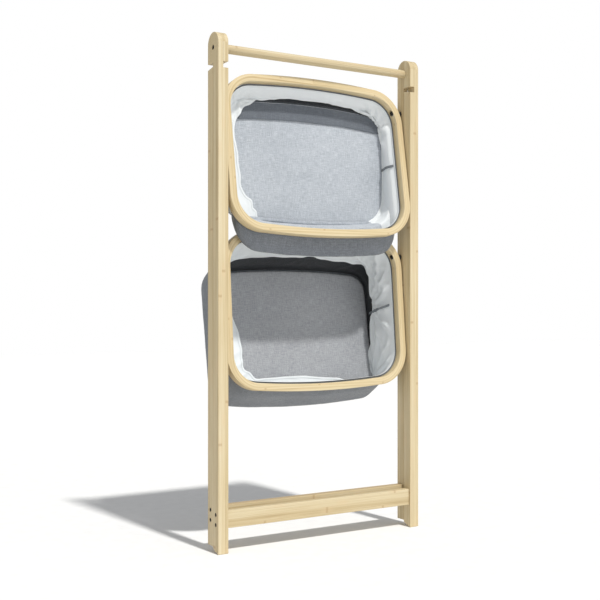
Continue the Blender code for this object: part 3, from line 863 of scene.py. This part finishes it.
# Creases that run out from a point: place round, distance before the rim, count, height, reach
CREASES = {
    "upper": (
        (0.150, -0.002, 13.0, 0.0120, 0.075),
        (0.865, -0.002, 11.0, 0.0070, 0.075),
        (0.045, 0.000, 8.0, 0.0045, 0.060),
    ),
    "lower": (
        (0.215, 0.026, 15.0, 0.0120, 0.135),
        (0.330, 0.002, 12.0, 0.0125, 0.115),
        (0.140, 0.048, 12.0, 0.0100, 0.105),
        (0.845, 0.030, 11.0, 0.0110, 0.110),
        (0.660, 0.004, 11.0, 0.0070, 0.110),
        (0.030, 0.048, 9.0, 0.0070, 0.090),
    ),
}
# The upper bag's floor is tucked tight over the lower hoop: places round the bag where its lining lies close
TUCKED = {"upper": (0.345, 0.655), "lower": (2.0, 2.0)}
WALL_OFFSET = 0.0026
BASE_OFFSET = 0.0088


def crease_height(tier, place, before_rim, girth):
    height = 0.0
    for centre, depth, count, tall, reach in CREASES[tier]:
        away = place - centre
        away -= round(away)
        across = away * girth
        down = before_rim - depth
        far = math.hypot(across, down)
        if far > reach:
            continue
        turn = math.atan2(across, down)
        wander = noise.noise(Vector((turn * 1.3, far * 12.0, centre * 40.0)))
        ridge = (0.5 + 0.5 * math.cos(turn * count + 2.6 * wander)) ** 3.2
        fade = (far / reach) ** 0.6 * (1.0 - far / reach) * 2.2
        height += tall * ridge * min(1.0, fade)
    return height


def lining_point(tier, column, place, length, girth, extra, folds):
    point, inward = along_column(column, length)
    wall = column[3]
    nearness = min(1.0, max(0.0, (length - wall + 0.014) / 0.020))
    offset = WALL_OFFSET + (BASE_OFFSET - WALL_OFFSET) * nearness * nearness * (3 - 2 * nearness)
    hold = folds * min(1.0, max(0.0, (length - 0.006) / 0.020))
    broad = noise.noise(Vector((point.x * 15.0, point.y * 20.0, point.z * 15.0 + 11.0)))
    fine = noise.noise(Vector((point.x * 46.0, point.y * 30.0, point.z * 46.0 + 2.0)))
    soft = 0.0030 * max(0.0, broad + 0.2) + 0.0016 * abs(fine)
    soft += crease_height(tier, place, wall - length, girth)
    first, last = TUCKED[tier]
    loose = min(1.0, max(0.0, max(first - place, place - last) / 0.025))
    if length < wall - 0.012:
        offset = offset * (0.62 + 0.38 * loose)
        hold *= loose
    return point + inward * (offset + hold * soft + extra * (0.5 + 0.5 * loose))


def cloth_strip(name, tier, finish, picked, start, end, rows, extra, thickness=LINING, closed=True, folds=1.0):
    """A strip of cloth laid on a bag's inner wall, from start to end along each column."""
    tree = skin_tree(tier)
    clearance = 0.0022 + extra * 0.6
    found = columns(tier)
    girth = sum((found[i][0][4] - found[i - 1][0][4]).length for i in range(AROUND))
    grid = []
    for r in range(rows + 1):
        line = []
        for i in picked:
            place = i / AROUND
            column = found[i]
            first = start(place, column)
            length = first + (end(place, column) - first) * r / rows
            point = lining_point(tier, column, place, length, girth, extra, folds)
            line.append(kept_inside(tree, point, clearance))
        grid.append(line)
    piece = new_piece(name, sheet_mesh(name, grid, closed), finish)
    thicken(piece, thickness)
    round_off(piece)
    apply_all(piece)
    settle(piece, tier, "grey_heather_fabric")


def lining_end(tier):
    def end(place, column):
        wander = 0.0016 * noise.noise(Vector((place * 26.0, 2.0, 7.0)))
        return max(0.030, column[3] + read_off(LINING_ENDS[tier], place) + wander)

    return end


def lining(tier):
    end = lining_end(tier)
    everywhere = range(AROUND)
    start = lambda p, c: LINING_START
    cloth_strip(f"{tier}_lining", tier, "lining", everywhere, start, end, LINING_ROWS, 0.0006)
    hem_start = lambda p, c: end(p, c) - 0.0042
    hem_end = lambda p, c: end(p, c) + 0.0008
    hem = f"{tier}_lining_hem"
    cloth_strip(hem, tier, "lining", everywhere, hem_start, hem_end, 3, 0.0014, thickness=0.0009)


def inner_wall(tier):
    """The wall cloth that shows between the lining and the base; its near-black colour is partly the cloth's
    own dark tone and partly painted shade for the deep shadow there.
    """
    start = lambda p, c: max(0.016, c[3] * 0.30)
    end = lambda p, c: c[3] + 0.004
    name = f"{tier}_inner_wall"
    cloth_strip(name, tier, "dark_wall_painted_shade", range(AROUND), start, end, CLOTH_ROWS, -0.0008, folds=0.12)


# Places round the upper bag between which its floor is covered
SHELF = (0.365, 0.650)


def shelf_cover(tier):
    """The heather cloth on the upper bag's floor, up to its hem."""
    first, last = SHELF
    picked = range(int(first * AROUND), int(last * AROUND))
    start = lambda p, c: 0.020
    end = lambda p, c: c[3] + 0.012
    cloth_strip(f"{tier}_shelf_cover", tier, "panel", picked, start, end, CLOTH_ROWS, 0.0030, closed=False)


PANEL_INSET = 0.0064
PANEL_LIFT = 0.0030
PANEL_THICKNESS = 0.0040
# The lower panel takes the darker copy of the panel heather: painted shade.
PANEL_FINISHES = {"upper": "panel", "lower": "shaded_copy_panel"}
# Painted-shade strip on the upper panel: how far down it reaches, its inset from the panel's edge, and its
# lift off the base.
SHADE_STRIP_DEPTH = 0.043
SHADE_STRIP_INSET = 0.0085
SHADE_STRIP_LIFT = PANEL_LIFT + PANEL_THICKNESS + 0.0026


def base_plane(tier):
    """A bag's base: its middle, up and forward, and its half width, half height and corner radius."""
    upper, lower, half_width, radius = ring_sizes(tier)[-1]
    up = (upper - lower).normalized()
    return (upper + lower) / 2, up, Vector((0.0, -up.z, up.y)), half_width, (upper - lower).length / 2, radius


def base_panel(tier):
    """The stiff panel that lies on a bag's base, covered in heather cloth and slightly crowned."""
    middle, up, forward, half_width, half_height, radius = base_plane(tier)
    lift, thickness = PANEL_LIFT, PANEL_THICKNESS

    def level(extra, height):
        size = PANEL_INSET + extra
        bow = bow_radius() - HOOP_WALL - HEM_GAP - size
        corner = max(radius - size, 0.008)
        flat = even(rounded_outline(half_width - size, half_height - size, corner, bow), AROUND)
        return [middle + up * p.y + Vector((p.x, 0.0, 0.0)) + forward * (lift + height) for p in flat]

    edge = ((0.0015, 0.0), (0.0, thickness * 0.3), (0.0, thickness * 0.7), (0.0014, thickness))
    rows = [level(extra, height) for extra, height in edge]
    for extra in (0.005, 0.012, 0.022, 0.036, 0.052, 0.070, 0.090, 0.112):
        dimple = 0.0004 * math.sin(extra * 260.0)
        rows.append(level(extra, thickness + 0.0009 * min(1.0, extra / 0.05) + dimple))
    name = f"{tier}_base_panel"
    piece = new_piece(name, sheet_mesh(name, rows), PANEL_FINISHES[tier])
    shape = bmesh.new()
    shape.from_mesh(piece.data)
    layer = shape.loops.layers.uv.verify()
    rim = [e for e in shape.edges if e.is_boundary]
    height = middle.dot(forward) + lift + thickness * 0.5
    bmesh.ops.edgeloop_fill(shape, edges=[e for e in rim if e.verts[0].co.dot(forward) > height])
    bmesh.ops.edgeloop_fill(shape, edges=[e for e in rim if e.verts[0].co.dot(forward) <= height])
    for face in shape.faces:
        face.smooth = True
        for loop in face.loops:
            offset = loop.vert.co - middle
            loop[layer].uv = (offset.x, offset.dot(up))
    for vertex in shape.verts:
        if vertex.co.dot(forward) > height + thickness * 0.4:
            spot = vertex.co * 13.0
            vertex.co += forward * 0.0011 * noise.noise(Vector((spot.x, spot.z * 1.7, 3.0)))
    bmesh.ops.recalc_face_normals(shape, faces=shape.faces)
    shape.to_mesh(piece.data)
    shape.free()
    settle(piece, tier, "heather_board", f"{tier}_base_board")


def painted_shade_panel_strip(tier):
    """A strip of darker cloth over the top of the panel, its lower edge lower at the sides: painted shade for
    the shadow of the hoop's top bar.
    """
    middle, up, forward, half_width, half_height, radius = base_plane(tier)
    half = half_width - SHADE_STRIP_INSET
    rows, across = 10, 60
    grid = []
    for r in range(rows + 1):
        line = []
        for i in range(across + 1):
            x = half * (2 * i / across - 1)
            out = max(0.0, abs(x) - (half_width - radius))
            top = half_height - SHADE_STRIP_INSET - (radius - math.sqrt(max(radius**2 - out**2, 0.0)))
            top -= HOOP_BOW * min(1.0, (x / (half_width - radius)) ** 2)
            wander = noise.noise(Vector((x * 16.0, 4.0, 1.0)))
            bottom = half_height - SHADE_STRIP_DEPTH - 0.010 * (x / half) ** 2 + 0.0012 * wander
            top = max(top, bottom + 0.001)
            level = top + (bottom - top) * r / rows
            soft = 0.0009 * noise.noise(Vector((x * 14.0, level * 30.0, 6.0)))
            line.append(middle + up * level + Vector((x, 0.0, 0.0)) + forward * (SHADE_STRIP_LIFT + soft))
        grid.append(line)
    name = f"{tier}_painted_shade_panel_strip"
    piece = new_piece(name, sheet_mesh(name, grid, closed=False), "painted_shade_strip_cloth")
    thicken(piece, 0.0009)
    round_off(piece)
    apply_all(piece)
    settle(piece, tier, "grey_heather_fabric")


# Grey tapes sewn to the lining: height at the base's rim and distance past it, then height at the hoop and
# distance from the hem. Heights are counted up a hoop from its bolts.
TAPES = {"upper": (-0.113, 0.001, -0.114, 0.005), "lower": (-0.115, -0.016, -0.103, 0.010)}
TAPE_WIDTH = 0.0056
TAPE_ROWS = 30


def place_at_height(found, length_of, height):
    """Where on a bag's right side, as a share of a turn, its wall has this height."""
    start, end = int(0.14 * AROUND), int(0.37 * AROUND)
    for i in range(start, end):
        upper = along_column(found[i], length_of(found[i]))[0].z
        lower = along_column(found[i + 1], length_of(found[i + 1]))[0].z
        if upper >= height > lower:
            return (i + (upper - height) / (upper - lower)) / AROUND
    return 0.25


def tapes(tier):
    """A narrow tape on each side of the lining, from the rim of the base to the hoop."""
    found = columns(tier)
    tree = skin_tree(tier)
    girth = sum((found[i][0][4] - found[i - 1][0][4]).length for i in range(AROUND))
    near_height, past_rim, far_height, from_hem = TAPES[tier]
    for side in ("right", "left"):
        grid = []
        for r in range(TAPE_ROWS + 1):
            share = r / TAPE_ROWS

            def length_of(column):
                start = column[3] + past_rim
                return start + (from_hem - start) * share

            line = []
            for k in (-2, -1, 0, 1, 2):
                height = near_height + (far_height - near_height) * share - k / 4 * TAPE_WIDTH
                place = place_at_height(found, length_of, height)
                place = place if side == "right" else 1.0 - place
                first = int(place * AROUND)
                part = place * AROUND - first
                ends = []
                for i in (first, first + 1):
                    column = found[i % AROUND]
                    point = lining_point(tier, column, i / AROUND, length_of(column), girth, 0.0024, 1.0)
                    ends.append(kept_inside(tree, point, 0.0044))
                line.append(ends[0].lerp(ends[1], part))
            grid.append(line)
        name = f"{tier}_{side}_tape"
        piece = new_piece(name, sheet_mesh(name, grid, closed=False), "tape")
        thicken(piece, 0.0011)
        round_off(piece)
        apply_all(piece)
        settle(piece, tier, "grey_heather_fabric")


for tier in ("upper", "lower"):
    outer_cloth(tier)
    lining(tier)
    inner_wall(tier)
    base_panel(tier)
    tapes(tier)
shelf_cover("upper")
# Painted shade: a dark cloth strip where the hoop's top bar shades the upper panel.
painted_shade_panel_strip("upper")

hoop_pattern = model_hoop()
for tier in ("upper", "lower"):
    finish_hoop(tier, hoop_pattern)
bpy.data.objects.remove(hoop_pattern)
dress_frame()


# ---------------------------------------------------------------- room, light and camera


def add_room():
    deselect()
    bpy.ops.mesh.primitive_plane_add(size=1.0, location=(0.0, 0.0, 0.0))
    room = bpy.context.object
    room.name = "studio_floor"
    room.scale = (16.0, 12.0, 1.0)
    room.location = (0.0, 1.0, -0.0005)
    bpy.ops.object.transform_apply(location=True, rotation=False, scale=True)
    white = Finish("white_paper", 0.9, Specular_IOR_Level=0.1)
    fibres = white.grain(white.scaled(white.object_point(), (40.0, 40.0, 40.0)), 1.0, 4.0)
    white.colour(white.ramp(fibres, (0.3, (0.90, 0.90, 0.90)), (0.7, (0.94, 0.94, 0.94))))
    room.data.materials.append(white.material)


def add_sun(name, source, strength, spread, colour):
    """A distant lamp that shines from source, with soft edges of spread degrees."""
    data = bpy.data.lights.new(name, "SUN")
    data.energy = strength
    data.angle = math.radians(spread)
    data.color = colour
    light = bpy.data.objects.new(name, data)
    bpy.context.scene.collection.objects.link(light)
    light.rotation_euler = (-Vector(source)).to_track_quat("-Z", "Y").to_euler()


def add_lights():
    add_sun("key_light", (0.06, -0.53, 0.83), 2.70, 3.0, (1.0, 0.985, 0.955))
    add_sun("front_fill", (0.45, -0.88, 0.05), 0.60, 40.0, (0.97, 0.985, 1.0))
    add_sun("left_fill", (-0.95, -0.15, 0.05), 0.45, 40.0, (0.97, 0.985, 1.0))
    world = bpy.data.worlds.new("studio")
    bpy.context.scene.world = world
    world.use_nodes = True
    nodes, links = world.node_tree.nodes, world.node_tree.links
    nodes.clear()
    rays = nodes.new("ShaderNodeLightPath")
    room = nodes.new("ShaderNodeBackground")
    room.inputs["Color"].default_value = (0.97, 0.985, 1.0, 1.0)
    room.inputs["Strength"].default_value = 0.39
    seen = nodes.new("ShaderNodeBackground")
    seen.inputs["Color"].default_value = (1.0, 1.0, 1.0, 1.0)
    seen.inputs["Strength"].default_value = 1.0
    mixed = nodes.new("ShaderNodeMixShader")
    out = nodes.new("ShaderNodeOutputWorld")
    links.new(rays.outputs["Is Camera Ray"], mixed.inputs[0])
    links.new(room.outputs[0], mixed.inputs[1])
    links.new(seen.outputs[0], mixed.inputs[2])
    links.new(mixed.outputs[0], out.inputs[0])


def add_camera():
    data = bpy.data.cameras.new("camera")
    data.lens = 60.24
    data.sensor_width = 36.0
    camera = bpy.data.objects.new("camera", data)
    bpy.context.scene.collection.objects.link(camera)
    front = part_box("front_leg_left")[0].y
    camera.location = (-1.0925, front - 1.7290, 0.488)
    camera.rotation_euler = (math.radians(90), 0.0, math.radians(-30.9))
    bpy.context.scene.camera = camera
    bpy.context.scene.view_settings.view_transform = "Standard"
    bpy.context.scene.view_settings.look = "None"


add_room()
add_lights()
add_camera()
